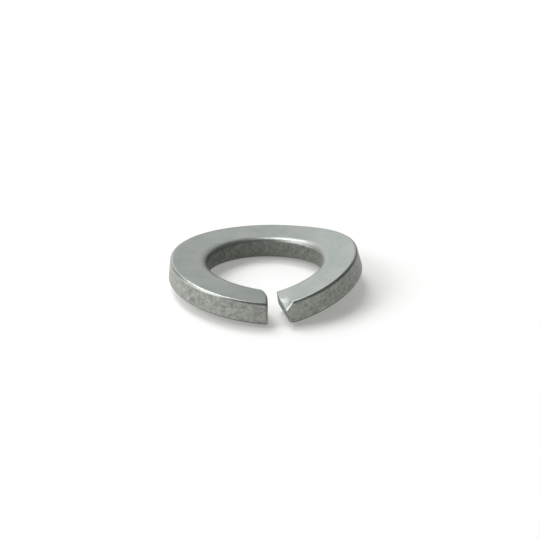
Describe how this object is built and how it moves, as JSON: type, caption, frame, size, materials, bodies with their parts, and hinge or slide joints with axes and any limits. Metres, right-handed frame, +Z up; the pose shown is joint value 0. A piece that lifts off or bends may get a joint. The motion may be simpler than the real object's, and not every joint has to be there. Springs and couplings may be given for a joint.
{
  "type": "curved spring lock washer",
  "caption": "Split spring washer: a turn of rounded rectangular wire, bowed so its sides stand up, with a slanted gap.",
  "frame": {"origin": "on the bore axis, in the surface that the washer lies on", "axes": "+Z up along the bore axis, +Y from the gap to the back of the ring along the valley line, +X to the right seen from the gap"},
  "size_m": [0.0145, 0.0144, 0.003],
  "materials": {
    "coated_spring_steel": "matte grey zinc flake coating, fine grain"
  },
  "bodies": {
    "root": {"spring_washer": "coated_spring_steel"}
  },
  "joints": []
}
